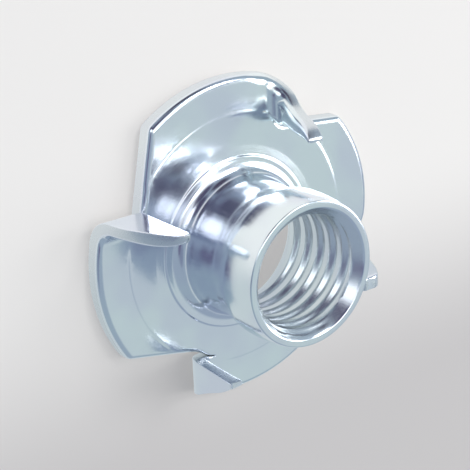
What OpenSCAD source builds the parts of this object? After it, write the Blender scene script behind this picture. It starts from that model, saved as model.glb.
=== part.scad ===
// Pronged tee nut, drawn and folded from one round blank of steel sheet.
// Z runs along the barrel; Z = 0 is the back face of the flange.

/* [Flange] */
// Diameter of the round blank, which is the rim of the flange
flange_d = 22; // [20:0.5:26]
// Thickness of the sheet
sheet = 1.2; // [1:0.05:1.4]
// Radius that blanking leaves on the front edge of the rim
rim_roll = 0.45; // [0.1:0.05:0.6]
// Diameter of the raised pad in the middle of the front face
pad_d = 17.3; // [16:0.1:18]
// Height of that pad above the outer part of the face
pad_step = 0.06; // [0.02:0.01:0.1]

/* [Barrel] */
// Height of the nut from the back face to the mouth
height = 9; // [8:0.5:15]
// Diameter of the barrel's straight stretch
barrel_d = 9.2; // [9.2:0.1:10]
// Radius of the corner between flange and barrel
root_fillet = 1.2; // [0.8:0.1:1.5]
// Radius of the drawn funnel that leads into the bore from the back face
draw_r = 3.2; // [2.4:0.1:3.4]
// Height of the coined step around that corner
shoulder_step = 0.14; // [0.05:0.01:0.2]
// Width of the flat on that step, outside the corner's radius
shoulder_land = 0.1; // [0.05:0.05:0.4]
// Length of the swollen lip, down from the mouth
lip_length = 3.2; // [2.8:0.1:3.6]
// Length of the lip's slope, from the straight stretch to its widest place
lip_slope = 1.6; // [0.8:0.1:2]
// How far the lip stands out from the straight stretch at its widest
lip_swell = 0.4; // [0.1:0.05:0.6]
// How far the lip draws in again between its widest place and the mouth
lip_taper = 0.26; // [0.1:0.02:0.4]
// Width of the flat ring at the mouth
mouth_ring = 0.38; // [0.2:0.02:0.5]
// Included angle of the countersink that leads into the thread
countersink_angle = 120; // [90:5:120]

/* [Thread] */
// Nominal diameter of the metric thread
thread_d = 8; // [7.5:0.25:8]
// Pitch of the thread
thread_pitch = 1.25; // [1:0.05:1.5]

/* [Prongs] */
// Number of prongs
prongs = 4; // [3:1:4]
// Height of the prongs above the front face
prong_h = 4.8; // [4:0.1:5.2]
// Width of a prong where it leaves the flange, measured in from the rim
prong_root = 3.1; // [2.8:0.1:3.6]
// Distance from the nut's axis to the plane of a prong's outer face
fold_offset = 4; // [3.4:0.1:4.2]
// Inside radius of the fold
fold_r = 0.8; // [0.5:0.05:1]
// Angle by which the lanced cut leans in from square to the fold
cut_lean = 8; // [4:0.5:9]
// Radius that lancing leaves on the flange's front edge, along the cut
cut_roll = 0.4; // [0.1:0.05:0.5]
// Radius of the two corners at a prong's blunt tip
tip_round = 0.25; // [0.1:0.05:0.3]

/* [Hidden] */
$fn = 96;
// How far a cut runs past what it cuts
past = 2;

flange_r = flange_d / 2;
rim_t = sheet - pad_step;
barrel_r = barrel_d / 2;
lip_r = barrel_r + lip_swell;
mouth_r = lip_r - lip_taper;

// The bore has the minor diameter of an internal metric thread: 5/8 of the height of the
// thread's 60 degree triangle is left standing on each side.
triangle_h = thread_pitch * sqrt(3) / 2;
bore_r = thread_d / 2 - triangle_h * 5 / 8;
countersink_r = mouth_r - mouth_ring;
countersink_z = height - (countersink_r - bore_r) / tan(countersink_angle / 2);

shoulder_r = barrel_r + root_fillet + shoulder_land;
shoulder_z = sheet + shoulder_step;

// The lip: a half-cosine slope up to its widest place, then a quarter of an ellipse to the mouth.
slope_z = height - lip_length;
crown_z = slope_z + lip_slope;
lip_steps = 8;
slope = [for (i = [0 : lip_steps])
    [barrel_r + lip_swell * (1 - cos(180 * i / lip_steps)) / 2, slope_z + lip_slope * i / lip_steps]];
crown = [for (i = [1 : lip_steps])
    [mouth_r + lip_taper * cos(90 * i / lip_steps), crown_z + (height - crown_z) * sin(90 * i / lip_steps)]];

// The fold: flat sheet as far as fold_y, a quarter turn, then the upright blade.
bend_r = fold_r + rim_t;
fold_y = fold_offset - bend_r;
prong_x = sqrt(pow(flange_r, 2) - pow(fold_offset, 2)) - prong_root;
tip_z = sheet + prong_h;
// A quarter turn uses up less sheet, along its neutral line, than the two legs it replaces.
neutral = 0.4;
bend_gain = 2 * bend_r - PI / 2 * (fold_r + neutral * rim_t);
// Folded up, the blank's rim is an arc about a point this far below the back face.
arc_drop = fold_offset - bend_gain;

module flange_profile() {
    square([flange_r - rim_roll, rim_t]);
    square([flange_r, rim_t - rim_roll]);
    translate([flange_r - rim_roll, rim_t - rim_roll]) circle(rim_roll);
    square([pad_d / 2, sheet]);
}

module barrel_profile() {
    square([shoulder_r, shoulder_z]);
    difference() {
        square([barrel_r + root_fillet, shoulder_z + root_fillet]);
        translate([barrel_r + root_fillet, shoulder_z + root_fillet]) circle(root_fillet);
    }
    square([barrel_r, slope_z]);
    polygon(concat([[0, slope_z]], slope, crown, [[0, height]]));
}

// Everything inside the bore: draw radius at the back, core hole, countersink at the mouth
module bore_profile() {
    translate([0, -past]) square([bore_r, height + 2 * past]);
    difference() {
        translate([0, -past]) square([bore_r + draw_r, draw_r + past]);
        translate([bore_r + draw_r, draw_r]) circle(draw_r);
    }
    polygon([[0, countersink_z], [bore_r, countersink_z], [countersink_r, height],
        [countersink_r, height + past], [0, height + past]]);
}

// The gap that one prong leaves in the flange: lanced along one side, folded along the other
module window() {
    reach = flange_r + past;
    lean = (reach - fold_offset) * tan(cut_lean);
    translate([0, 0, -past]) linear_extrude(sheet + 2 * past)
        polygon([[prong_x, -fold_y], [prong_x, -fold_offset], [prong_x - lean, -reach],
            [reach, -reach], [reach, -fold_y]]);
    translate([prong_x, -fold_offset, 0]) rotate(-cut_lean) cut_edge(reach);
    translate([prong_x, -fold_y, 0]) cut_edge(fold_offset - fold_y);
}

// What lancing takes off the front edge along a cut that runs towards -Y
module cut_edge(length) {
    rotate([90, 0, 0]) linear_extrude(length)
        difference() {
            translate([-cut_roll, sheet - cut_roll]) square([cut_roll + past, cut_roll + past]);
            translate([-cut_roll, sheet - cut_roll]) circle(cut_roll);
        }
}

// Section across the fold: a quarter ring that turns the sheet up into the blade
module fold_section() {
    intersection() {
        difference() {
            translate([-fold_y, bend_r]) circle(bend_r);
            translate([-fold_y, bend_r]) circle(fold_r);
        }
        translate([-fold_offset, 0]) square([bend_r, bend_r]);
    }
    translate([-fold_offset, bend_r]) square([rim_t, tip_z - bend_r]);
}

// Outline of the blade, square to its faces: lanced inner edge, rim arc outside, blunt round tip
module blade_outline() {
    round_z = tip_z - tip_round;
    inner_x = prong_x - round_z * tan(cut_lean) + tip_round / cos(cut_lean);
    outer_x = sqrt(pow(flange_r - tip_round, 2) - pow(round_z + arc_drop, 2));
    // unit vector from the arc's centre through the outer corner's
    out = [outer_x, round_z + arc_drop] / (flange_r - tip_round);
    intersection() {
        translate([0, -arc_drop]) circle(flange_r);
        union() {
            polygon([[prong_x, 0],
                [inner_x - tip_round * cos(cut_lean), round_z - tip_round * sin(cut_lean)],
                [inner_x, round_z], [inner_x, tip_z], [outer_x, tip_z], [outer_x, round_z],
                [0, -arc_drop] + out * (flange_r + past), [flange_r + past, 0]]);
            translate([inner_x, round_z]) circle(tip_round);
            translate([outer_x, round_z]) circle(tip_round);
        }
    }
}

module prong() {
    intersection() {
        rotate([90, 0, 90]) linear_extrude(flange_r + past) fold_section();
        rotate([90, 0, 0]) linear_extrude(fold_offset + past) blade_outline();
        cylinder(r = flange_r, h = tip_z + past);
    }
}

module tee_nut() {
    color("lightsteelblue") {
        difference() {
            rotate_extrude() {
                flange_profile();
                barrel_profile();
            }
            rotate_extrude() bore_profile();
            for (i = [0 : prongs - 1]) rotate(i * 360 / prongs) window();
        }
        for (i = [0 : prongs - 1]) rotate(i * 360 / prongs) prong();
    }
}

tee_nut();
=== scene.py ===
"""Pronged tee nut: pressed from one round blank of sheet steel and plated with bright zinc.

The flat blank is outlined first, with its four lanced slits. Its front corners are rolled as
blanking leaves them, its two faces are filled, and each prong is then folded up along its own fold
line. The drawn barrel and the tapped bore close the shell in the middle.

Lengths are millimetres in the classes and become metres as a mesh is made.
"""
import logging
from dataclasses import dataclass, field
from enum import Enum
from functools import partial
from math import atan2, ceil, cos, degrees, hypot, pi, radians, remainder, sin, sqrt, tan
from typing import Any, Callable, Sequence

import bmesh
import bpy
import numpy as np
from bpy.types import ID, Material, Mesh, Node, NodeSocket as Socket, NodeTree as Tree, Object, World
from mathutils import Matrix, Vector
from mathutils.geometry import delaunay_2d_cdt


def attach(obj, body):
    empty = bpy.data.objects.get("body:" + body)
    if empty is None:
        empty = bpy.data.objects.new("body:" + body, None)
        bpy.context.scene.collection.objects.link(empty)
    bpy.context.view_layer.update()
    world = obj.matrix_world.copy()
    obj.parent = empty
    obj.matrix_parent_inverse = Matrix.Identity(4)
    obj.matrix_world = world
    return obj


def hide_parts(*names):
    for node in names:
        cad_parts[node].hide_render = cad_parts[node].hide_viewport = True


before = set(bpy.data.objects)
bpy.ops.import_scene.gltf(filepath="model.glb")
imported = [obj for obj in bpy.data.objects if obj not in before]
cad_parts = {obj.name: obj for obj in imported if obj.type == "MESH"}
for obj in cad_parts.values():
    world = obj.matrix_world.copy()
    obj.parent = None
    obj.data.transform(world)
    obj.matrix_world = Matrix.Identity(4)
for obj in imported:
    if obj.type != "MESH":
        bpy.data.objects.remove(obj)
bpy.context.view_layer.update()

Array = np.ndarray
Pair = tuple[float, float]
Triple = tuple[float, float, float]

MM = 0.001
WELD = 0.001 * MM
# Half the span, in millimetres, over which a curve's slope is taken.
NUDGE = 0.01
SHARP_ANGLE = radians(36.0)
FRAME_PIXELS = 470

log = logging.getLogger("tee_nut")


# --- helpers


def linear_rgb(colour: str) -> tuple[float, float, float, float]:
    """Turn an sRGB hex colour into linear RGBA.

    Args:
        colour: Colour as "#rrggbb".

    Returns:
        Linear red, green and blue, and an alpha of 1.
    """
    channels = [int(colour[i : i + 2], 16) / 255.0 for i in (1, 3, 5)]
    linear = [c / 12.92 if c <= 0.04045 else ((c + 0.055) / 1.055) ** 2.4 for c in channels]
    return (linear[0], linear[1], linear[2], 1.0)


def add_node(tree: Tree, kind: str, inputs: dict[Any, Any] | None = None, **settings: Any) -> Node:
    """Add a node to a tree with its settings, values and links.

    Args:
        tree: Tree that gets the node.
        kind: Blender's type name of the node.
        inputs: Value or output socket for each input, by the input's name or number.
        **settings: Attributes of the node, such as its operation.

    Returns:
        The new node.
    """
    node = tree.nodes.new(kind)
    for name, value in settings.items():
        setattr(node, name, value)
    for key, value in (inputs or {}).items():
        socket = node.inputs[key]
        if not socket.enabled:
            socket = next(s for s in node.inputs if s.name == key and s.enabled)
        if isinstance(value, Socket):
            tree.links.new(value, socket)
        else:
            socket.default_value = value
    return node


def math_node(tree: Tree, operation: str, *values: Any) -> Socket:
    """Output of a new Math node with the given values or sockets."""
    return add_node(tree, "ShaderNodeMath", dict(enumerate(values)), operation=operation).outputs[0]


def eased_node(tree: Tree, value: Any, low: float, high: float) -> Socket:
    """Share that eases from 0 to 1 as a value goes from low to high."""
    inputs = {"Value": value, "From Min": low, "From Max": high}
    return add_node(tree, "ShaderNodeMapRange", inputs, interpolation_type="SMOOTHSTEP").outputs["Result"]


def mixed_node(tree: Tree, share: Any, first: Any, second: Any) -> Socket:
    """Colour that goes from the first to the second as a share goes from 0 to 1."""
    node = add_node(tree, "ShaderNodeMix", {"Factor": share, "A": first, "B": second}, data_type="RGBA")
    return next(s for s in node.outputs if s.enabled)


def cleared_tree(owner: Material | World) -> Tree:
    """Empty the node tree of a material or a world.

    Args:
        owner: The material or world.

    Returns:
        Its tree.
    """
    owner.use_nodes = True
    owner.node_tree.nodes.clear()
    return owner.node_tree


def linked(name: str, data: ID) -> Object:
    """Link a new object to the scene.

    Args:
        name: Name of the object.
        data: Its mesh, light or camera.

    Returns:
        The object.
    """
    thing = bpy.data.objects.new(name, data)
    bpy.context.scene.collection.objects.link(thing)
    return thing


def shares(steps: int) -> list[float]:
    """Shares of a stretch at the end of each of its equal steps."""
    return [i / steps for i in range(1, steps + 1)]


def quarter(steps: int, first: int = 0) -> list[float]:
    """Angles up to a right angle in equal steps, from the given step on."""
    return [0.5 * pi * i / steps for i in range(first, steps + 1)]


def straight(start: Pair, end: Pair, steps: int) -> list[Pair]:
    """Points that lead along a straight line to its end, without its start."""
    return [(start[0] + (end[0] - start[0]) * s, start[1] + (end[1] - start[1]) * s) for s in shares(steps)]


def smoothstep(value: Array | float) -> Array | float:
    """Ease a value from 0 to 1, held level outside that stretch."""
    held = np.clip(value, 0.0, 1.0)
    return held * held * (3.0 - 2.0 * held)


def eased(value: Array | float, start: float, over: float) -> Array | float:
    """Ease from 0 to 1 as a value grows from a start, over a length."""
    return smoothstep((value - start) / over)


def blend(first: float, last: float, value: Array | float) -> Array | float:
    """Ease from one number to another as a value goes from 0 to 1."""
    return first + (last - first) * smoothstep(value)


def turned(points: Array, degrees: float) -> Array:
    """Turn plane points about the origin by an angle in degrees."""
    c, s = cos(radians(degrees)), sin(radians(degrees))
    return points @ np.array([[c, s], [-s, c]])


def reach(start: Array, way: Array, radius: float) -> float:
    """Distance along a line, from a point inside a circle about the origin, until it leaves it."""
    along = float(start @ way)
    return -along + sqrt(along * along - float(start @ start) + radius * radius)


def corner(before: Array, at: Array, after: Array, steps: int) -> list[Array]:
    """Round a corner with a parabola between two points on its legs.

    Args:
        before: Row of values where the rounding starts.
        at: Row of values at the sharp corner.
        after: Row of values where the rounding ends.
        steps: Number of stretches.

    Returns:
        The rows of values, with both ends.
    """
    return [
        (1 - s) ** 2 * before + 2 * s * (1 - s) * at + s * s * after
        for s in np.linspace(0.0, 1.0, steps + 1)
    ]


def inside(points: Array, loops: Sequence[Array]) -> Array:
    """Tell which points lie inside closed loops, by the even-odd rule.

    Args:
        points: Plane points to test.
        loops: Closed loops, each without its first point repeated.

    Returns:
        True for each point that is inside.
    """
    odd = np.zeros(len(points), bool)
    x, y = points[:, 0, None], points[:, 1, None]
    for loop in loops:
        a, b = loop, np.roll(loop, -1, axis=0)
        straddles = (a[:, 1] > y) != (b[:, 1] > y)
        rise = np.where(a[:, 1] == b[:, 1], 1.0, b[:, 1] - a[:, 1])
        crossing = a[:, 0] + (y - a[:, 1]) * (b[:, 0] - a[:, 0]) / rise
        odd ^= (straddles & (x < crossing)).sum(axis=1) % 2 == 1
    return odd


def clearance(points: Array, loop: Array) -> Array:
    """Find how far points lie from a closed loop.

    Args:
        points: Plane points.
        loop: The loop, without its first point repeated.

    Returns:
        The distance from each point to the nearest stretch of the loop.
    """
    a, b = loop, np.roll(loop, -1, axis=0)
    leg = b - a
    length2 = np.maximum((leg * leg).sum(axis=1), 1e-12)
    rel = points[:, None, :] - a[None]
    share = np.clip((rel * leg).sum(axis=2) / length2, 0.0, 1.0)
    gap = rel - share[..., None] * leg
    return np.sqrt((gap * gap).sum(axis=2)).min(axis=1)


class Shell:
    """Vertices and faces gathered for one closed mesh."""

    def __init__(self) -> None:
        """Start with nothing."""
        self.points: list[Array] = []
        self.sheared: list[Array] = []
        self.faces: list[Sequence[int]] = []
        self.count = 0

    def add_points(self, points: Array, sheared: Array | float = 0.0) -> int:
        """Add points to the shell.

        Args:
            points: Points in millimetres, one a row.
            sheared: How much each point belongs to a sheared edge, from 0 to 1.

        Returns:
            The number of the first new point.
        """
        first = self.count
        self.points.append(np.asarray(points, float))
        self.sheared.append(np.broadcast_to(sheared, len(points)).astype(float))
        self.count += len(points)
        return first

    def add_grid(self, first: int, rings: int, rows: int, skipped: Sequence[int] = ()) -> None:
        """Join a closed run of rings, whose points are numbered ring by ring, with quads.

        Args:
            first: Number of the first point.
            rings: Number of rings.
            rows: Points in each ring.
            skipped: Rings that aren't joined to the next one.
        """
        ring = np.array([[r] for r in range(rings) if r not in skipped])
        a, b = (first + r * rows + np.arange(rows - 1) for r in (ring, (ring + 1) % rings))
        self.faces += np.stack([a, b, b + 1, a + 1], axis=2).reshape(-1, 4).tolist()

    def add_tube(self, rings: Sequence[Array]) -> None:
        """Join closed rings one after another, and cap the last.

        Args:
            rings: Numbers of the points in each ring.
        """
        for a, b in zip(rings, rings[1:]):
            self.faces += np.stack([a, b, np.roll(b, -1), np.roll(a, -1)], axis=1).tolist()
        self.faces.append(rings[-1].tolist())

    def mesh(self, name: str) -> Mesh:
        """Make a Blender mesh, in metres.

        Args:
            name: Name of the mesh.

        Returns:
            The mesh, with a "sheared" value on each point.
        """
        mesh = bpy.data.meshes.new(name)
        mesh.from_pydata((np.concatenate(self.points) * MM).tolist(), [], self.faces)
        layer = mesh.attributes.new("sheared", "FLOAT", "POINT")
        layer.data.foreach_set("value", np.concatenate(self.sheared).astype(np.float32))
        return mesh


# --- the blank and its prongs


class Side(Enum):
    """Quarter of the flange that a prong stands in, as quarter turns from +X."""

    EAST = 0
    NORTH = 1
    WEST = 2
    SOUTH = 3


@dataclass(frozen=True)
class Sheet:
    """The round blank of sheet steel, and what pressing does to its corners."""

    radius: float = 11.0
    thickness: float = 1.14
    # Raised pad round the barrel, and the width of the slope at its edge.
    pad_step: float = 0.04
    pad_radius: float = 8.65
    pad_slope: float = 0.24
    # Share of the thickness, from the inner face of a fold, that bending doesn't stretch.
    neutral: float = 0.4
    flat_margin: float = 0.05
    burr: float = 0.08
    # Depth of a rolled corner for each millimetre of its width.
    roll_depth: float = 0.9
    roll_steps: int = 6
    burr_steps: int = 3
    wall_steps: int = 2

    def edge_rows(self, roll: float) -> list[Triple]:
        """Section of an edge, from the front face round to the back face.

        Args:
            roll: Width of the rolled front corner.

        Returns:
            For each row its inset from the edge, its depth below the front face, and how far it
            belongs to the sheared wall.
        """
        depth = roll * self.roll_depth
        rows = [(roll + self.flat_margin, 0.0, 0.0)]
        for i, a in enumerate(quarter(self.roll_steps)):
            rows.append((roll * (1 - sin(a)), depth * (1 - cos(a)), float(i == self.roll_steps)))
        wall_end = self.thickness - self.burr
        rows += [(0.0, depth + (wall_end - depth) * s, 1.0) for s in shares(self.wall_steps)[:-1]]
        for i, a in enumerate(quarter(self.burr_steps)):
            rows.append((self.burr * (1 - cos(a)), wall_end + self.burr * sin(a), float(i == 0)))
        rows.append((self.burr + self.flat_margin, self.thickness, 0.0))
        return rows


SHEET = Sheet()


@dataclass(frozen=True)
class Prong:
    """One prong: a tongue lanced along its inner side and folded up at its root.

    A prong is laid out in its own frame: x runs along the fold line towards the rim, from the end
    of the slit, and u runs square to it, away from the flange, along the sheet.
    """

    side: Side
    fold_offset: float = 3.8
    root_x: float = 7.25
    # How far each side of the slit leans from the square, in degrees.
    flange_lean: float = 5.5
    prong_lean: float = 5.5
    height: float = 6.0
    bend: float = 90.0
    fold_radius: float = 0.8
    # Thickness beyond the fold.
    blade: float = 0.97
    slit: float = 0.1
    # Rolled front corners: along the flange's cut, along the lanced side and along the rim side.
    flange_roll: float = 0.4
    flange_corner: float = 0.3
    prong_roll: float = 0.34
    rim_roll: float = 0.4
    # Share of a rolled corner's width that is left at the end of the slit, on either side of it.
    flange_start: float = 0.2
    prong_start: float = 0.22
    flange_start_over: float = 1.6
    # Largest share of the tongue's width that each rolled corner takes.
    prong_roll_most: float = 0.28
    rim_roll_most: float = 0.58
    # Share by which the rolled corners have narrowed at the tip, and where they start to.
    roll_taper: float = 0.4
    roll_taper_from: float = 2.5
    # Metal that the rim side gains at the tip and half way up.
    rim_grow: float = 0.0
    rim_bow: float = 0.0
    # Curl of the slit towards the barrel, which is complete this far from the fold line.
    hook: float = 0.0
    hook_over: float = 1.5
    # Rounding away of the face at the tip, over its last stretch.
    nose: float = 0.0
    nose_over: float = 2.0
    tip_round: float = 0.25
    tip_roll: float = 0.2
    columns: int = 9
    bend_rows: int = 14
    blade_rows: int = 12
    tip_rows: int = 6

    def axes(self) -> tuple[Array, Array, Array]:
        """Frame of the prong in the blank.

        Returns:
            The end of the slit, the unit vector of x and the unit vector of u.
        """
        fold_y = self.fold_offset - self.fold_radius - SHEET.thickness
        rows = turned(np.array([[self.root_x, -fold_y], [1.0, 0.0], [0.0, -1.0]]), 90.0 * self.side.value)
        return rows[0], rows[1], rows[2]

    def bend_length(self) -> float:
        """Length of sheet, on its neutral line, that the fold takes up."""
        return radians(self.bend) * (self.fold_radius + SHEET.neutral * SHEET.thickness)

    def tip_u(self) -> float:
        """Find where the tongue ends.

        Returns:
            Distance of the tip from the fold line, along the sheet.
        """
        turn = radians(self.bend)
        rise = self.fold_radius + SHEET.thickness - self.fold_radius * cos(turn)
        return self.bend_length() + (self.height - rise) / sin(turn)

    def hooked(self, u: float) -> float:
        """How far the slit stands in from its own end, at a distance from the fold line."""
        return self.hook * smoothstep(u / self.hook_over)

    def inner_x(self, u: float) -> float:
        """Place of the lanced side at a distance from the fold line."""
        return 0.5 * self.slit - self.hooked(u) - u * tan(radians(self.prong_lean))

    def lanced_roll(self, u: float) -> float:
        """Width of the lanced side's rolled corner, which is small at the end of the slit."""
        return self.prong_roll * blend(self.prong_start, 1.0, u / self.bend_length())

    def worn(self, u: float) -> float:
        """How far the face is rounded away at a distance from the fold line, to give a round nose."""
        share = min(max(1.0 + (u - self.tip_u()) / self.nose_over, 0.0), 1.0)
        return self.nose * (1.0 - sqrt(1.0 - share * share))

    def rim_x(self, u: float) -> float:
        """Find the rim side of the tongue.

        Args:
            u: Distance from the fold line.

        Returns:
            Place of the side along the fold line.
        """
        root, along, out = self.axes()
        share = min(max(u / self.tip_u(), 0.0), 1.0)
        spare = self.rim_grow * share * share + self.rim_bow * sin(pi * share) ** 2
        return reach(root + u * out, along, SHEET.radius) + spare

    def steepness(self, side: Callable[[float], float], u: float) -> float:
        """Length of a side for each millimetre square to the fold line."""
        return hypot(1.0, (side(u + NUDGE) - side(u - NUDGE)) / (2 * NUDGE))

    def folded(self, x: Array, u: float, depth: Array) -> Array:
        """Fold a section of the tongue up.

        Args:
            x: Places along the fold line.
            u: Distance from it, along the sheet.
            depth: Depths below the sheet's front face.

        Returns:
            The points in space.
        """
        root, along, out = self.axes()
        turn = radians(self.bend)
        length = self.bend_length()
        angle = min(u / length, 1.0) * turn
        past = max(u - length, 0.0)
        thinned = blend(1.0, self.blade / SHEET.thickness, u / length)
        radius = self.fold_radius + SHEET.thickness - (SHEET.thickness - depth) * thinned
        outward = radius * sin(angle) + past * cos(turn)
        up = self.fold_radius + SHEET.thickness - radius * cos(angle) + past * sin(turn)
        return np.column_stack([root + x[:, None] * along + outward[:, None] * out, up])

    def stations(self) -> list[Pair]:
        """Rows of the tongue beyond the fold line.

        Returns:
            For each row its distance from the fold line, and how far the tip's rounding has come there.
        """
        length = self.bend_length()
        last = self.tip_u() - self.tip_round
        bend = straight((0.0, 0.0), (length, 0.0), self.bend_rows)
        blade = straight((length, 0.0), (last, 0.0), self.blade_rows)
        tip = [(last + self.tip_round * sin(a), 1.0 - cos(a)) for a in quarter(self.tip_rows, 1)]
        return bend + blade + tip

    def section(self, u: float, rounding: float) -> tuple[Array, Array, Array]:
        """Section of the tongue at a distance from the fold line.

        Args:
            u: The distance.
            rounding: How far the tip's rounding has come, from 0 to 1.

        Returns:
            Places along the fold line, depths and sheared shares, once round the section.
        """
        inset = self.tip_round * rounding
        left, right = self.inner_x(u) + inset, self.rim_x(u) - inset
        settled = (u - self.roll_taper_from) / (self.tip_u() - self.roll_taper_from)
        taper = blend(1.0, 1.0 - self.roll_taper, settled)
        slant, steep = self.steepness(self.inner_x, u), self.steepness(self.rim_x, u)
        left_most, right_most = (m * (right - left) for m in (self.prong_roll_most, self.rim_roll_most))
        left_rows = np.array(SHEET.edge_rows(min(self.lanced_roll(u) * taper, left_most / slant)))
        right_rows = np.array(SHEET.edge_rows(min(self.rim_roll * taper, right_most / steep)))
        x_left = left + left_rows[:, 0] * slant
        x_right = right - right_rows[:, 0] * steep
        back = np.linspace(x_left[-1], x_right[-1], self.columns + 2)[1:-1]
        front = np.linspace(x_right[0], x_left[0], self.columns + 2)[1:-1]
        x = np.concatenate([x_left, back, x_right[::-1], front])
        level = np.zeros(self.columns)
        depth = np.concatenate([left_rows[:, 1], level + SHEET.thickness, right_rows[::-1, 1], level])
        sheared = np.concatenate([left_rows[:, 2], level, right_rows[::-1, 2], level])
        top, bottom = self.tip_roll * rounding + self.worn(u), SHEET.burr * rounding
        return x, top + depth * (SHEET.thickness - top - bottom) / SHEET.thickness, sheared

    def build(self, shell: Shell, root_ring: Array, shift: Sequence[float]) -> None:
        """Add the tongue to a shell, from the fold line to its tip.

        Args:
            shell: Shell that gets it.
            root_ring: Numbers of the points round its section at the fold line.
            shift: Place of the blank's middle.
        """
        rings = [root_ring]
        for u, rounding in self.stations():
            x, depth, sheared = self.section(u, rounding)
            points = self.folded(x, u, depth)
            points[:, :2] += shift
            first = shell.add_points(points, sheared)
            rings.append(first + np.arange(len(x)))
        shell.add_tube(rings)


@dataclass
class Flange:
    """The flat part of the blank, with its prongs."""

    prongs: tuple[Prong, ...]
    rim_roll: float = 0.45
    # The blank bulges in one direction, in degrees from +X, and as far to each side of it.
    bulge: float = 0.42
    bulge_at: float = 187.0
    bulge_width: float = 52.0
    # Place of the blank's middle, for the bore isn't quite central.
    shift: Pair = (-0.05, -0.25)
    front_hole: float = 6.62
    back_hole: float = 6.52
    columns: int = 192
    arc_step: float = 0.25
    grid_step: float = 0.4
    corner_steps: int = 6
    slit_steps: int = 8
    slit_margin: float = 0.1
    # Where the pad eases away and over how long: before a fold line, past it, and before a slit's end.
    fold_before: Pair = (-1.5, 1.3)
    fold_past: Pair = (0.1, 0.6)
    slit_before: Pair = (-0.8, 0.6)
    # Stretch of rim over which it settles after a prong.
    settle: float = 1.5
    # Least distance from the face's edges to the pad's rings, and to the points between them.
    ring_gap: float = 0.12
    grid_gap: float = 0.15

    def rim(self, angle: float) -> float:
        """Radius of the rim in a direction, for the blank isn't quite round."""
        away = remainder(angle - radians(self.bulge_at), 2 * pi)
        return SHEET.radius + blend(self.bulge, 0.0, abs(away) / radians(self.bulge_width))

    def cut_at(self, prong: Prong, out_by: float) -> Array:
        """Find a point of a prong's cut, on the flange's side.

        Args:
            prong: The prong.
            out_by: Distance from the fold line.

        Returns:
            The point.
        """
        root, along, out = prong.axes()
        x = -0.5 * prong.slit - prong.hooked(out_by) - out_by * tan(radians(prong.flange_lean))
        return root + x * along + out_by * out

    def prong_edge(self, prong: Prong) -> list[Array]:
        """Edge of the flange round one prong, from the flange's corner to both ends of the fold.

        Args:
            prong: The prong.

        Returns:
            One row a point: its place, the way it moves for each millimetre of inset, and the width
            of its rolled corner. The last two are the two ends of the fold.
        """
        root, along, out = prong.axes()
        half = 0.5 * prong.slit

        # Distance from the fold line at which the cut meets the rim, found by halving.
        low, high = 0.0, SHEET.radius
        for _ in range(30):
            middle = 0.5 * (low + high)
            at = self.cut_at(prong, middle)
            within = np.linalg.norm(at) < self.rim(atan2(at[1], at[0]))
            low, high = (middle, high) if within else (low, middle)
        rows = []
        steps = ceil((low - prong.flange_corner) / self.arc_step)
        for i in range(steps + 1):
            out_by = (low - prong.flange_corner) * (1 - i / steps)
            way = self.cut_at(prong, out_by + NUDGE) - self.cut_at(prong, out_by - NUDGE)
            way /= np.linalg.norm(way)
            inward = np.array([way[1], -way[0]])
            if inward @ along > 0.0:
                inward = -inward
            roll = prong.flange_roll * blend(prong.flange_start, 1.0, out_by / prong.flange_start_over)
            rows.append(np.hstack([self.cut_at(prong, out_by), inward, roll]))
        corner_at = self.cut_at(prong, low)
        rim_in = -corner_at / np.linalg.norm(corner_at)
        cut_in = rows[0][2:4]
        miter = (rim_in + cut_in) / (1.0 + float(rim_in @ cut_in))
        before = turned(corner_at[None], -degrees(prong.flange_corner / SHEET.radius))[0]
        rows[:1] = corner(
            np.hstack([before, -before / np.linalg.norm(before), self.rim_roll]),
            np.hstack([corner_at, miter, prong.flange_roll]), rows[0], self.corner_steps,
        )

        # Round end of the slit, just short of the fold line.
        start_roll = rows[-1][4]
        for a in np.linspace(pi, 0.0, self.slit_steps + 1):
            turn_way = cos(a) * along - sin(a) * out
            at = root - self.slit_margin * out + half * turn_way
            roll = start_roll + (prong.lanced_roll(0.0) - start_roll) * (1 - a / pi)
            rows.append(np.hstack([at, turn_way, roll]))
        rows.append(np.hstack([root + half * along, along, prong.lanced_roll(0.0)]))
        steep = prong.steepness(prong.rim_x, 0.0)
        rows.append(np.hstack([root + prong.rim_x(0.0) * along, -steep * along, prong.rim_roll]))
        return rows

    def outline(self) -> tuple[Array, list[int]]:
        """Edge of the flange, anticlockwise.

        Returns:
            One row a point, as prong_edge gives them, and for each prong the number of the first of
            the two rows that are the ends of its fold.
        """
        rows: list[Array] = []
        gates = []
        edges = [self.prong_edge(prong) for prong in self.prongs]
        for edge, following in zip(edges, edges[1:] + edges[:1]):
            rows += edge
            gates.append(len(rows) - 2)
            start, end = edge[-1], following[0]
            a0 = atan2(start[1], start[0])
            span = (atan2(end[1], end[0]) - a0) % (2 * pi)
            steps = ceil(span * SHEET.radius / self.arc_step)
            for i in range(1, steps):
                a = a0 + span * i / steps
                way = np.array([cos(a), sin(a)])
                settled = i * self.arc_step / self.settle
                grown = blend(SHEET.radius, self.rim(a), settled)
                rows.append(np.hstack([grown * way, -way, blend(start[4], self.rim_roll, settled)]))
        return np.array(rows), gates

    def pad(self, points: Array) -> Array:
        """Find how far the pad round the barrel stands over the rest of the front face.

        Args:
            points: Points of the blank.

        Returns:
            The pad's height at each, which eases away where a fold needs a level face.
        """
        radius = np.hypot(points[:, 0], points[:, 1])
        height = eased(SHEET.pad_radius - radius, -0.5 * SHEET.pad_slope, SHEET.pad_slope)
        for prong in self.prongs:
            root, along, out = prong.axes()
            rel = points - root
            near = eased(rel @ out, *self.fold_before) * (1.0 - eased(rel @ out, *self.fold_past))
            height = height * (1.0 - eased(rel @ along, *self.slit_before) * near)
        return SHEET.pad_step * height

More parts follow.
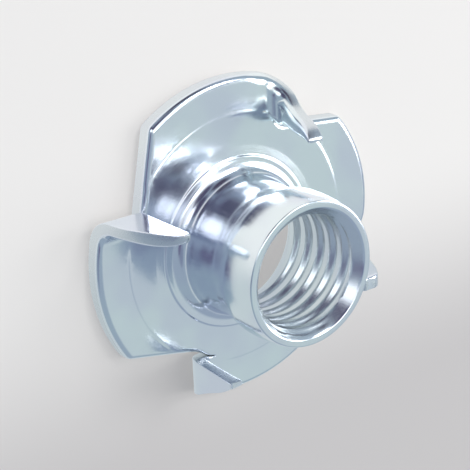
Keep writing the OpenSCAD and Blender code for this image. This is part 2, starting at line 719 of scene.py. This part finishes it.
    def raised(self, points: Array, depth: Array | float) -> Array:
        """Place in the nut's frame of points of the blank, at a depth below the front face."""
        lift = self.pad(points) * np.clip(1.0 - depth / (0.5 * SHEET.thickness), 0.0, 1.0)
        return np.column_stack([points + self.shift, SHEET.thickness - depth + lift])

    def hole(self, radius: float) -> Array:
        """Circle that the barrel or the bore leaves in a face, about the bore's axis."""
        a = 2 * pi * np.arange(self.columns) / self.columns
        return np.column_stack([radius * np.cos(a), radius * np.sin(a)]) - self.shift

    def pad_rings(self, ring: Array) -> list[Array]:
        """Rings of points along the pad's edge, in the stretches that are clear of other edges.

        Args:
            ring: The front face's outer loop.

        Returns:
            One array a stretch.
        """
        stretches: list[Array] = []
        a = np.radians(np.arange(0.0, 360.0, 1.5))
        way = np.column_stack([np.cos(a), np.sin(a)])
        for step in (-0.5, -0.25, 0.0, 0.25, 0.5):
            circle = (SHEET.pad_radius + SHEET.pad_slope * step) * way
            free = inside(circle, [ring]) & (clearance(circle, ring) > self.ring_gap)
            # Turned to start at a point that isn't free, so every second run of points is free.
            start = -int(np.flatnonzero(~free)[0])
            circle, free = np.roll(circle, start, axis=0), np.roll(free, start)
            stretches += np.split(circle, np.flatnonzero(np.diff(free)) + 1)[1::2]
        return stretches

    def face_grid(self, ring: Array) -> list[Array]:
        """Points spread over the front face, which keep its shading level between its edges.

        Args:
            ring: The front face's outer loop.

        Returns:
            One array a point.
        """
        count = int(2 * SHEET.radius / self.grid_step)
        u, v = np.meshgrid(np.arange(-count, count + 1), np.arange(-count, count + 1))
        grid = self.grid_step * np.column_stack([(u + 0.5 * (v % 2)).ravel(), (v * sqrt(0.75)).ravel()])
        radius = np.hypot(grid[:, 0], grid[:, 1])
        axial = np.hypot(*(grid + self.shift).T)
        gap = self.grid_gap
        free = (axial > self.front_hole + gap) & (np.abs(radius - SHEET.pad_radius) > gap)
        grid = grid[free & (radius < SHEET.radius + self.bulge)]
        grid = grid[inside(grid, [ring]) & (clearance(grid, ring) > gap)]
        return list(grid[:, None, :])

    def build(self, shell: Shell) -> None:
        """Add the edge, the front face, the back face and the prongs to a shell.

        Args:
            shell: Shell that gets them.
        """
        rows, gates = self.outline()
        points, insets, rolls = rows[:, :2], rows[:, 2:4], rows[:, 4]
        section = np.array([SHEET.edge_rows(roll) for roll in rolls])
        count = section.shape[1]
        flat = points[:, None, :] + section[:, :, :1] * insets[:, None, :]
        first = shell.add_points(
            self.raised(flat.reshape(-1, 2), section[:, :, 1].reshape(-1)), section[:, :, 2].reshape(-1)
        )
        shell.add_grid(first, len(points), count, gates)
        ids = first + np.arange(len(points) * count).reshape(len(points), count)

        # Each fold gets points across both faces, which the faces and the tongue share.
        across = {}
        cuts = [gate + 1 for gate in gates]
        for row, depth in ((0, 0.0), (count - 1, SHEET.thickness)):
            parts, part_ids = np.split(flat[:, row], cuts), np.split(ids[:, row], cuts)
            loop, loop_ids = parts[:1], part_ids[:1]
            for gate, prong, part, numbers in zip(gates, self.prongs, parts[1:], part_ids[1:]):
                line = np.linspace(flat[gate, row], flat[gate + 1, row], prong.columns + 2)[1:-1]
                start = shell.add_points(self.raised(line, depth))
                across[gate, row] = start + np.arange(len(line))
                loop += [line, part]
                loop_ids += [across[gate, row], numbers]
            ring = np.concatenate(loop)
            hole = self.hole(self.back_hole if row else self.front_hole)
            extra = [] if row else self.pad_rings(ring) + self.face_grid(ring)
            self.fill(shell, ring, np.concatenate(loop_ids), hole, depth, extra)

        for gate, prong in zip(gates, self.prongs):
            root_ring = np.concatenate([
                ids[gate], across[gate, count - 1], ids[gate + 1][::-1], across[gate, 0][::-1]
            ])
            prong.build(shell, root_ring, self.shift)

    def fill(
        self, shell: Shell, ring: Array, ring_ids: Array, hole: Array, depth: float, extra: Sequence[Array]
    ) -> None:
        """Fill one face of the flange with triangles.

        Args:
            shell: Shell that gets them.
            ring: Outer loop in the flat.
            ring_ids: Numbers of its points in the shell.
            hole: Inner loop in the flat.
            depth: Depth of the face below the front.
            extra: Runs of points to be kept as lines of the face.
        """
        loop = [(i, (i + 1) % len(ring)) for i in range(len(ring))]
        edges = loop + [(len(ring) + i, len(ring) + (i + 1) % len(hole)) for i in range(len(hole))]
        count = len(ring) + len(hole)
        for run in extra:
            edges += [(count + i, count + i + 1) for i in range(len(run) - 1)]
            count += len(run)
        source = [Vector(p) for p in np.concatenate([ring, hole, *extra])]
        # 0 asks for every triangle, and points closer than 1e-6 mm count as one.
        made, _, triangles, origins, _, _ = delaunay_2d_cdt(source, edges, [], 0, 1e-6, True)
        spots = np.array([tuple(p) for p in made])
        tris = np.array([tuple(t) for t in triangles])
        kept = tris[inside(spots[tris].mean(axis=1), [ring, hole])]
        first = shell.add_points(self.raised(spots, depth))
        ids = first + np.arange(len(spots))
        for i, origin in enumerate(origins):
            known = [o for o in origin if o < len(ring)]
            if known:
                ids[i] = ring_ids[known[0]]
        shell.faces += ids[kept].tolist()


# --- the barrel and its bore


@dataclass
class Barrel:
    """The drawn barrel: shoulder, fillet, straight stretch, swollen lip, mouth and funnel."""

    radius: float = 4.6
    height: float = 9.0
    taper: float = 0.1
    fillet: float = 1.0
    # Rise of the shoulder, with the gentle apron that leads up to it.
    step: float = 0.14
    step_width: float = 0.16
    apron: float = 0.06
    apron_gap: float = 0.14
    shoulder: float = 5.9
    # Height where the lip starts, how long it swells and how far, and how far it draws in above.
    lip_start: float = 4.4
    lip_slope: float = 2.1
    lip_swell: float = 0.44
    lip_taper: float = 0.24
    mouth_edge: float = 0.12
    mouth_ring: float = 0.4
    mouth_crown: float = 0.015
    mouth_chip: float = 0.02
    # Bore: radius of the thread's crests, radius of the funnel's curve, and the countersink's slope.
    core: float = 3.8
    draw: float = 2.72
    sink_slope: float = 1.0
    thread_low: float = 0.9
    thread_high: float = 8.9
    columns: int = 192

    @property
    def mouth_radius(self) -> float:
        """Outer radius of the mouth's ring, before its corner is rounded."""
        return self.radius + self.lip_swell - self.lip_taper

    @property
    def countersink_radius(self) -> float:
        """Radius at which the countersink meets the mouth's ring."""
        return self.mouth_radius - self.mouth_ring

    @property
    def countersink_foot(self) -> float:
        """Height at which the countersink would meet the core hole."""
        return self.height - (self.countersink_radius - self.core) / self.sink_slope

    def outside(self, front_hole: float) -> list[Pair]:
        """Profile from the flange's front face up to where the countersink meets the thread.

        Args:
            front_hole: Radius at which the profile leaves the front face.

        Returns:
            Points as radius and height.
        """
        # Each stretch has as many steps as its curvature asks for.
        top = SHEET.thickness + SHEET.pad_step
        ledge = top + self.step
        profile = [(front_hole, top)]
        profile += straight(profile[0], (self.shoulder + self.apron_gap, top + self.apron), 8)
        for s in shares(8):
            rise = blend(self.apron, self.step, s)
            profile.append((self.shoulder + self.step_width * (0.5 - s), top + rise))
        foot, neck = self.radius + 0.5 * self.taper, self.radius - 0.5 * self.taper
        centre_r, centre_z = foot + self.fillet, ledge + self.fillet
        for a in quarter(16):
            profile.append((centre_r - self.fillet * sin(a), centre_z - self.fillet * cos(a)))
        profile += straight((foot, centre_z), (neck, self.lip_start), 10)
        swell = self.radius + self.lip_swell - neck
        crown = self.lip_start + self.lip_slope
        for s in shares(14):
            # The lip starts with a faint ring, so part of its swell is even and the rest eases.
            eased = 0.4 * s + 0.3 * (1 - cos(pi * s))
            profile.append((neck + swell * eased, self.lip_start + self.lip_slope * s))
        edge = self.mouth_edge
        for s in shares(12)[:-1]:
            sag = self.lip_taper * (1 - sqrt(1 - s * s))
            profile.append((self.radius + self.lip_swell - sag, crown + (self.height - edge - crown) * s))
        return profile + self.mouth(profile[-1][0])

    def mouth(self, last_radius: float) -> list[Pair]:
        """Profile over the mouth: rounded corner, slightly crowned ring, countersink.

        Args:
            last_radius: Radius of the lip just below the corner.

        Returns:
            Points as radius and height.
        """
        edge, chip = self.mouth_edge, self.mouth_chip
        outer = last_radius - chip
        low = self.height - self.mouth_crown
        profile = [(outer - edge * (1 - cos(a)), low - edge * (1 - sin(a))) for a in quarter(6)]
        start = outer - edge
        inner = self.countersink_radius
        for s in shares(9)[:-1]:
            profile.append((start + (inner - start) * s, self.height - self.mouth_crown * (2 * s - 1) ** 2))
        profile.append((inner - 0.5 * chip, low - 0.25 * chip))
        foot_r = self.core + (self.thread_high - self.countersink_foot) * self.sink_slope
        return profile + straight((inner - chip, low - chip), (foot_r, self.thread_high), 5)

    def inside_foot(self, back_hole: float) -> list[Pair]:
        """Profile of the drawn funnel, from the thread's lower end to the back face.

        Args:
            back_hole: Radius at which the profile meets the back face.

        Returns:
            Points as radius and height.
        """
        profile = []
        for s in [0.0, *shares(20)]:
            # Steps shrink towards the back face, where the curve flattens.
            z = self.thread_low * (1 - s) ** 1.3
            profile.append((self.core + self.draw - sqrt(self.draw**2 - (self.draw - z) ** 2), z))
        return profile + [(back_hole, 0.0)]

    def build(self, shell: Shell, front_hole: float, back_hole: float) -> None:
        """Add the barrel's outside and the funnel to a shell.

        Args:
            shell: Shell that gets them.
            front_hole: Radius of the hole in the flange's front face.
            back_hole: Radius of the hole in its back face.
        """
        a = 2 * pi * np.arange(self.columns) / self.columns
        for profile in (self.outside(front_hole), self.inside_foot(back_hole)):
            r, z = np.array(profile).T
            points = np.stack([
                np.cos(a)[:, None] * r, np.sin(a)[:, None] * r, np.broadcast_to(z, (len(a), len(z)))
            ], axis=2)
            first = shell.add_points(points.reshape(-1, 3))
            shell.add_grid(first, len(a), len(r))


@dataclass
class Thread:
    """The tapped bore, made by Geometry Nodes as rows that climb with the thread."""

    barrel: Barrel
    pitch: float = 1.25
    root_radius: float = 4.14
    # Share of the pitch that the flat of a crest takes.
    crest_share: float = 0.3
    # How far the threads' finish goes towards that of a sheared wall.
    dullness: float = 0.6
    rows_a_turn: int = 16

    def tree(self, sizes: dict[str, Any]) -> Tree:
        """Node tree that makes the bore's wall from its named sizes.

        Args:
            sizes: Sizes and finish, by the names of the tree's inputs.

        Returns:
            The tree, with one geometry output.
        """
        tree = bpy.data.node_groups.new("tapped_bore", "GeometryNodeTree")
        kinds = {float: "NodeSocketFloat", int: "NodeSocketInt", Material: "NodeSocketMaterial"}
        for name, value in sizes.items():
            tree.interface.new_socket(name, in_out="INPUT", socket_type=kinds[type(value)])
        tree.interface.new_socket("Geometry", in_out="OUTPUT", socket_type="NodeSocketGeometry")
        node, maths = partial(add_node, tree), partial(math_node, tree)
        given = node("NodeGroupInput").outputs

        grid = node("GeometryNodeMeshGrid", {
            "Size X": 1.0,
            "Size Y": 1.0,
            "Vertices X": maths("ADD", given["Columns"], 1.0),
            "Vertices Y": maths("ADD", given["Rows"], 1.0),
        })
        spot = node("GeometryNodeInputPosition").outputs[0]
        place = node("ShaderNodeSeparateXYZ", {0: spot}).outputs
        turn = maths("ADD", place["X"], 0.5)
        row = maths("ROUND", maths("MULTIPLY", maths("ADD", place["Y"], 0.5), given["Rows"]))
        turns_up = maths("DIVIDE", row, given["Rows a Turn"])
        climb = maths("MULTIPLY", maths("SUBTRACT", maths("ADD", turns_up, turn), 1.0), given["Pitch"])
        raw_z = maths("ADD", given["Low End"], climb)
        z = maths("MINIMUM", maths("MAXIMUM", raw_z, given["Low End"]), given["High End"])

        # Groove: 0 in the middle of a crest, 1 in the middle of a root.
        swing = maths("ABSOLUTE", maths("SUBTRACT", maths("MULTIPLY", maths("FRACT", turns_up), 2.0), 1.0))
        share = eased_node(tree, swing, self.crest_share, 1.0)
        core, draw = given["Core Radius"], given["Draw Radius"]
        groove = maths("MULTIPLY_ADD", share, maths("SUBTRACT", given["Root Radius"], core), core)
        left = maths("MAXIMUM", maths("SUBTRACT", draw, z), 0.0)
        chord = maths("SQRT", maths("SUBTRACT", maths("MULTIPLY", draw, draw), maths("MULTIPLY", left, left)))
        funnel = maths("SUBTRACT", maths("ADD", core, draw), chord)
        above = maths("MAXIMUM", maths("SUBTRACT", z, given["Countersink Foot"]), 0.0)
        sink = maths("MULTIPLY_ADD", above, given["Countersink Slope"], core)
        radius = maths("MAXIMUM", maths("MAXIMUM", groove, funnel), sink)
        angle = maths("MULTIPLY", turn, 2 * pi)
        point = node("ShaderNodeCombineXYZ", {
            "X": maths("MULTIPLY", radius, maths("COSINE", angle)),
            "Y": maths("MULTIPLY", radius, maths("SINE", angle)),
            "Z": z,
        })

        made = grid.outputs["Mesh"]
        for kind, inputs, settings in (
            ("GeometryNodeSetPosition", {"Position": point.outputs[0]}, {}),
            ("GeometryNodeMergeByDistance", {"Distance": 0.2 * WELD}, {}),
            ("GeometryNodeRealizeInstances", {}, {}),
            ("GeometryNodeStoreNamedAttribute", {"Name": "sheared", "Value": given["Dullness"]},
             {"data_type": "FLOAT", "domain": "POINT"}),
            ("GeometryNodeSetMaterial", {"Material": given["Finish"]}, {}),
        ):
            made = node(kind, {"Geometry": made, **inputs}, **settings).outputs[0]
        node("NodeGroupOutput", {"Geometry": made})
        return tree

    def build(self, material: Material) -> Mesh:
        """Run the tree and keep what it makes as a plain mesh.

        Args:
            material: Finish of the bore.

        Returns:
            The mesh of the bore's wall, in metres.
        """
        barrel = self.barrel
        length = barrel.thread_high - barrel.thread_low + self.pitch
        sizes = {
            "Pitch": self.pitch * MM,
            "Core Radius": barrel.core * MM,
            "Root Radius": self.root_radius * MM,
            "Draw Radius": barrel.draw * MM,
            "Countersink Foot": barrel.countersink_foot * MM,
            "Countersink Slope": barrel.sink_slope,
            "Low End": barrel.thread_low * MM,
            "High End": barrel.thread_high * MM,
            "Dullness": self.dullness,
            "Columns": barrel.columns,
            "Rows": ceil(length / self.pitch * self.rows_a_turn),
            "Rows a Turn": self.rows_a_turn,
            "Finish": material,
        }
        carrier = linked("bore_carrier", bpy.data.meshes.new("bore_carrier"))
        modifier = carrier.modifiers.new("tapped_bore", "NODES")
        modifier.node_group = self.tree(sizes)
        for item in modifier.node_group.interface.items_tree:
            if item.in_out == "INPUT":
                modifier[item.identifier] = sizes[item.name]
        carrier.update_tag()
        bpy.context.view_layer.update()
        depsgraph = bpy.context.evaluated_depsgraph_get()
        mesh = bpy.data.meshes.new_from_object(carrier.evaluated_get(depsgraph))
        bpy.data.objects.remove(carrier)
        return mesh


# --- finishes


# Gives the eye crisp blue-white mirror patches with a faint satin edge, and duller sheared walls.
@dataclass(frozen=True)
class ZincPlate:
    """Bright zinc, blue passivated, on pressed steel: pale blue-white metal with a soft gloss."""

    pale: str = "#e9f1f3"
    lilac: str = "#e2e6f0"
    cut: str = "#d9dee0"
    cut_share: float = 0.7
    # Roughness of the plate, what scores add to or take from it, and what a sheared wall adds.
    roughness: float = 0.17
    score_roughness: float = 0.07
    cut_roughness: float = 0.12
    # Heights of the sheet's waves, the plating's grain and the drawn scores.
    wave_height: float = 0.010
    grain_height: float = 0.0011
    score_height: float = 0.0018

    def material(self) -> Material:
        """Make the plate's material.

        Returns:
            The material.
        """
        material = bpy.data.materials.new("bright_zinc_plate")
        tree = cleared_tree(material)
        node, maths = partial(add_node, tree), partial(math_node, tree)
        place = node("ShaderNodeTexCoord").outputs["Object"]
        sheared = node("ShaderNodeAttribute", attribute_name="sheared").outputs["Fac"]

        def noise(scale: float, detail: float, vector: Socket = place) -> Socket:
            """Value of a noise that repeats so many times a metre."""
            inputs = {"Vector": vector, "Scale": scale, "Detail": detail}
            return node("ShaderNodeTexNoise", inputs).outputs["Fac"]

        # The passivation's tint drifts over about 5 mm, so its noise repeats 200 times a metre. Most of
        # a noise's values lie between 0.35 and 0.65.
        share = eased_node(tree, noise(200.0, 2.0), 0.35, 0.65)
        tint = mixed_node(tree, share, linear_rgb(self.pale), linear_rgb(self.lilac))
        colour = mixed_node(tree, maths("MULTIPLY", sheared, self.cut_share), tint, linear_rgb(self.cut))

        # Drawing scores the barrel along its axis: marks 0.12 mm apart and about 3 mm long.
        scored = node("ShaderNodeMapping", {"Vector": place, "Scale": (8000.0, 8000.0, 350.0)})
        scores = noise(1.0, 3.0, scored.outputs[0])
        # Grains of the plating are 0.3 mm apart, and the pressed sheet waves over about 2.5 mm.
        grain = noise(3300.0, 2.0)
        waves = noise(400.0, 1.0)

        spread = self.score_roughness
        gloss = maths("MULTIPLY_ADD", scores, 2 * spread, self.roughness - spread)
        gloss = maths("MULTIPLY_ADD", sheared, self.cut_roughness, gloss)
        surface = maths("MULTIPLY", waves, self.wave_height * MM)
        surface = maths("MULTIPLY_ADD", grain, self.grain_height * MM, surface)
        surface = maths("MULTIPLY_ADD", scores, self.score_height * MM, surface)
        bump = node("ShaderNodeBump", {"Height": surface, "Distance": 1.0, "Strength": 1.0})

        shader = node("ShaderNodeBsdfPrincipled", {
            "Base Color": colour, "Metallic": 1.0, "Roughness": gloss, "Normal": bump.outputs[0],
        })
        node("ShaderNodeOutputMaterial", {"Surface": shader.outputs[0]})
        return material


# Gives the eye an even pale ground with one soft shadow, and gives the metal a painted reflection: a white
# glow behind the nut, brighter than the card itself looks.
@dataclass(frozen=True)
class MattCard:
    """Pale matt card: near-white behind the nut, and a little greyer towards the front."""

    far: str = "#cbc7c3"
    near: str = "#aaa6a4"
    # Painted reflection: what the metal mirrors of the card is a glow, white behind the nut and pale
    # blue-grey in front, which paints white highlights on the lip and the rim's walls.
    painted_reflection_far: str = "#ffffff"
    painted_reflection_near: str = "#d0d8dc"
    # Stretches of Y, in metres, over which far turns into near.
    span: Pair = (-0.002, 0.016)
    painted_reflection_span: Pair = (-0.011, 0.005)
    # Strength of its own even light, which holds its colour outside the lamps' reach.
    lift: float = 0.52

    def material(self) -> Material:
        """Make the card's material.

        Returns:
            The material.
        """
        material = bpy.data.materials.new("matt_card")
        tree = cleared_tree(material)
        node, maths = partial(add_node, tree), partial(math_node, tree)
        place = node("ShaderNodeTexCoord").outputs["Object"]
        along = node("ShaderNodeSeparateXYZ", {0: place}).outputs["Y"]

        def graded(far: str, near: str, span: Pair) -> Socket:
            """Colour that goes from far to near along a stretch of Y."""
            return mixed_node(tree, eased_node(tree, along, *span), linear_rgb(far), linear_rgb(near))

        colour = graded(self.far, self.near, self.span)
        # The glow that the metal mirrors is a painted reflection, not the card's own colour, and it holds no
        # shadow.
        painted_reflection = graded(self.painted_reflection_far, self.painted_reflection_near, self.painted_reflection_span)
        path = node("ShaderNodeLightPath").outputs
        matt = node("ShaderNodeBsdfDiffuse", {"Color": colour})
        strength = maths("MULTIPLY", path["Is Camera Ray"], self.lift)
        lifted = node("ShaderNodeEmission", {"Color": colour, "Strength": strength})
        card = node("ShaderNodeAddShader", {0: matt.outputs[0], 1: lifted.outputs[0]})
        glossy = maths("MAXIMUM", path["Is Glossy Ray"], path["Is Transmission Ray"])
        painted_reflection_glow = node("ShaderNodeEmission", {"Color": painted_reflection, "Strength": 1.0})
        both = node("ShaderNodeMixShader", {0: glossy, 1: card.outputs[0], 2: painted_reflection_glow.outputs[0]})
        node("ShaderNodeOutputMaterial", {"Surface": both.outputs[0]})
        return material


# --- the nut


@dataclass
class TeeNut:
    """The whole nut, as one closed shell. No two of its prongs are quite alike."""

    plate: ZincPlate = field(default_factory=ZincPlate)
    prongs: tuple[Prong, ...] = (
        Prong(
            Side.EAST, fold_offset=3.87, root_x=7.83, flange_lean=11.0, prong_lean=8.1, height=6.14,
            bend=94.2, fold_radius=0.73, blade=0.96, slit=0.14, rim_grow=0.42, rim_bow=0.15, nose=0.8,
            tip_round=0.5,
        ),
        Prong(
            Side.NORTH, fold_offset=4.26, root_x=7.95, flange_lean=11.5, prong_lean=-0.2, bend=86.8,
            fold_radius=0.7, blade=0.92, slit=0.06, rim_grow=0.72, rim_bow=-0.3, hook=0.35,
        ),
        Prong(Side.WEST, fold_offset=4.4, rim_grow=1.1, tip_round=0.4),
        Prong(
            Side.SOUTH, fold_offset=4.45, root_x=8.15, flange_lean=6.0, prong_lean=1.5, height=5.6,
            bend=101.0, fold_radius=0.7, blade=1.06, slit=0.05, prong_roll=0.5, rim_roll=0.72, rim_bow=-1.0,
            hook=1.0, tip_round=0.15, tip_roll=0.1,
        ),
    )

    def build(self) -> Object:
        """Make the nut's mesh: flange and prongs, barrel, and bore, welded together.

        Returns:
            The finished object, at the origin.
        """
        material = self.plate.material()
        shell = Shell()
        flange = Flange(self.prongs)
        barrel = Barrel()
        flange.build(shell)
        log.info("flange and %d prongs: %d points", len(self.prongs), shell.count)
        barrel.build(shell, flange.front_hole, flange.back_hole)
        log.info("barrel: %d points so far", shell.count)
        bore = Thread(barrel).build(material)
        log.info("bore: %d points", len(bore.vertices))

        mesh = shell.mesh("plated_nut")
        nut = linked("plated_nut", mesh)
        work = bmesh.new()
        work.from_mesh(mesh)
        work.from_mesh(bore)
        bpy.data.meshes.remove(bore)
        loose = [v for v in work.verts if not v.link_faces]
        bmesh.ops.delete(work, geom=loose, context="VERTS")
        bmesh.ops.remove_doubles(work, verts=work.verts, dist=WELD)
        bmesh.ops.dissolve_degenerate(work, edges=work.edges, dist=0.1 * WELD)
        bmesh.ops.recalc_face_normals(work, faces=work.faces)
        open_edges = sum(1 for e in work.edges if len(e.link_faces) != 2)
        log.info("open or crowded edges: %d", open_edges)
        for face in work.faces:
            face.smooth = True
        work.to_mesh(mesh)
        work.free()
        mesh.set_sharp_from_angle(angle=SHARP_ANGLE)
        mesh.materials.clear()
        mesh.materials.append(material)
        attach(nut, "root")
        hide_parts("tee_nut")
        return nut


# --- the studio


@dataclass(frozen=True)
class Glow:
    """A soft round area of the room: full within one angle of its way, gone at another, in degrees."""

    way: Triple
    colour: str
    full: float
    fade: float
    strength: float = 1.0


@dataclass(frozen=True)
class Lamp:
    """A round soft light that faces the nut, with its place and diameter in metres."""

    name: str
    place: Triple
    size: float
    watts: float

    def build(self) -> None:
        """Add the light."""
        data = bpy.data.lights.new(self.name, "AREA")
        data.shape = "DISK"
        data.size = self.size
        data.energy = self.watts
        light = linked(self.name, data)
        light.location = self.place
        light.rotation_euler = (-Vector(self.place)).to_track_quat("-Z", "Y").to_euler()


@dataclass
class Studio:
    """Pale floor, soft lights and the camera."""

    floor_finish: MattCard = field(default_factory=MattCard)
    floor_half: float = 0.6
    # Camera: focal length in pixels, place in millimetres, and the ways of its three axes.
    focal_pixels: float = 1700.0
    place: Triple = (61.961, -41.465, 86.197)
    right: Triple = (-0.7992, 0.0398, 0.5998)
    down: Triple = (0.2479, 0.9308, 0.2685)
    forward: Triple = (-0.5476, 0.3633, -0.7537)
    lamps: tuple[Lamp, ...] = (
        Lamp("key_light", (-0.138, -0.186, 0.264), 0.125, 0.23),
        Lamp("side_light", (-0.292, -0.026, 0.19), 0.22, 0.43),
        Lamp("top_light", (-0.067, -0.046, 0.344), 0.14, 0.13),
    )
    backdrop: str = "#e6e7e8"
    room: str = "#a0afbe"
    # Each glow covers the ones before it.
    glows: tuple[Glow, ...] = (
        Glow((-0.08, -0.22, 0.97), "#f4f8fa", 12.0, 27.0),
        Glow((-0.548, 0.363, 0.754), "#c6d2d6", 16.0, 34.0),
        Glow((0.85, 0.25, 0.46), "#848fa6", 8.0, 17.0),
        Glow((-0.1, -0.95, 0.3), "#4a4358", 8.0, 20.0),
        Glow((0.160, -0.636, 0.755), "#4e4a66", 12.0, 19.0),
        Glow((0.380, -0.310, 0.871), "#f0f4fa", 6.0, 13.0, 1.3),
        Glow((-0.47, -0.45, 0.76), "#f4f8ff", 5.0, 12.0, 2.2),
        Glow((0.54, -0.77, 0.34), "#4e4a66", 12.0, 22.0),
        Glow((0.611, -0.444, 0.656), "#f6faff", 9.0, 15.0, 2.0),
        Glow((0.687, 0.103, 0.719), "#6d6a88", 5.0, 13.0),
    )

    def camera(self) -> None:
        """Add the camera and make it the scene's."""
        lens = bpy.data.cameras.new("camera")
        lens.sensor_width = 36.0
        lens.lens = lens.sensor_width * self.focal_pixels / FRAME_PIXELS
        lens.clip_start = 0.005
        lens.clip_end = 10.0
        camera = linked("camera", lens)
        rows = [self.right, [-v for v in self.down], [-v for v in self.forward]]
        pose = Matrix(rows).transposed().to_4x4()
        pose.translation = Vector(self.place) * MM
        camera.matrix_world = pose
        bpy.context.scene.camera = camera

    def floor(self) -> None:
        """Add the floor under the nut."""
        mesh = bpy.data.meshes.new("floor")
        half = self.floor_half
        corners = [(x * half, y * half, 0.0) for x, y in ((-1, -1), (1, -1), (1, 1), (-1, 1))]
        mesh.from_pydata(corners, [], [(0, 1, 2, 3)])
        mesh.materials.append(self.floor_finish.material())
        linked("floor", mesh)

    def world(self) -> None:
        """Light the room plainly: even slate blue, with its pale and its dim places."""
        world = bpy.data.worlds.new("room")
        tree = cleared_tree(world)
        node = partial(add_node, tree)
        way = node("ShaderNodeTexCoord").outputs["Generated"]
        colour: Any = linear_rgb(self.room)
        for glow in self.glows:
            ways = {0: way, 1: tuple(Vector(glow.way).normalized())}
            facing = node("ShaderNodeVectorMath", ways, operation="DOT_PRODUCT")
            low, high = (cos(radians(angle)) for angle in (glow.fade, glow.full))
            lit = [glow.strength * c for c in linear_rgb(glow.colour)[:3]] + [1.0]
            colour = mixed_node(tree, eased_node(tree, facing.outputs["Value"], low, high), colour, lit)
        around = node("ShaderNodeBackground", {"Color": colour, "Strength": 1.0})
        behind = node("ShaderNodeBackground", {"Color": linear_rgb(self.backdrop), "Strength": 1.0})
        seen = node("ShaderNodeLightPath").outputs["Is Camera Ray"]
        mixed = node("ShaderNodeMixShader", {0: seen, 1: around.outputs[0], 2: behind.outputs[0]})
        node("ShaderNodeOutputWorld", {"Surface": mixed.outputs[0]})
        bpy.context.scene.world = world

    def build(self) -> None:
        """Set up the whole studio."""
        scene = bpy.context.scene
        scene.view_settings.view_transform = "Standard"
        self.camera()
        self.floor()
        self.world()
        for lamp in self.lamps:
            lamp.build()
        log.info("studio: floor, world, lights and camera")


def main() -> None:
    """Build the nut and the studio."""
    logging.basicConfig(level=logging.INFO, format="%(name)s: %(message)s")
    TeeNut().build()
    Studio().build()


if __name__ == "__main__":
    main()
